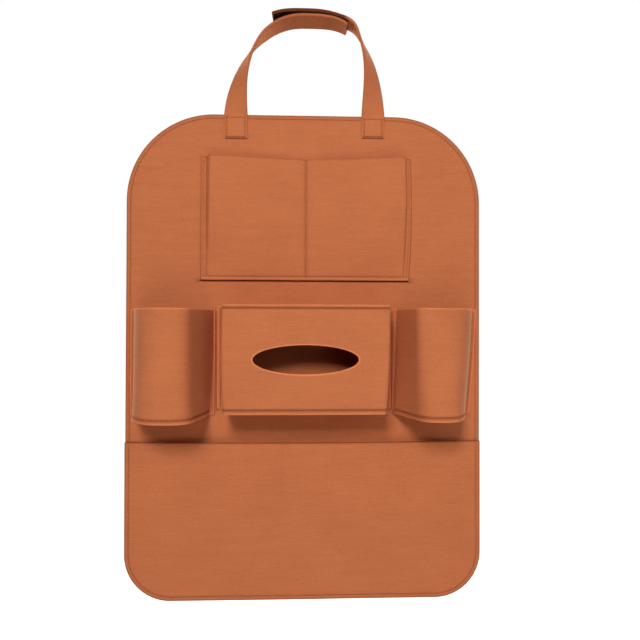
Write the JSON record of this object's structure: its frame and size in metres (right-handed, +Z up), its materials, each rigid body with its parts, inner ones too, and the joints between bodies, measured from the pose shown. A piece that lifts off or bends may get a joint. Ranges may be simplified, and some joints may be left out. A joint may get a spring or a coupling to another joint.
{
  "type": "car seat back organizer",
  "caption": "Felt panel with bottle pockets, a tissue pocket with an oval slot, flat pockets and a strap loop, hung on the back of a car seat",
  "frame": {"origin": "middle of the back panel's rear face, which lies against the seat back", "axes": "+Z up, -Y forwards out of the pockets, +X to the right as seen from the front"},
  "size_m": [0.41, 0.0871, 0.6782],
  "materials": {
    "felt": "matt tan felt with faint heathered streaks",
    "hook_tape": "dark brown hook tape",
    "loop_tape": "dark brown brushed loop tape"
  },
  "bodies": {
    "root": {"back_panel": "felt", "lower_pocket": "felt", "upper_pocket": "felt", "tissue_pocket_wrap": "felt", "tissue_pocket_base": "felt", "tissue_pocket_flap": "felt", "flap_hook_tape": "hook_tape", "flap_loop_tape": "loop_tape", "bottle_pocket_wrap_left": "felt", "bottle_pocket_base_left": "felt", "bottle_pocket_wrap_right": "felt", "bottle_pocket_base_right": "felt", "strap_left": "felt", "strap_right": "felt", "strap_loop_tape": "loop_tape", "strap_hook_tape": "hook_tape"}
  },
  "joints": []
}
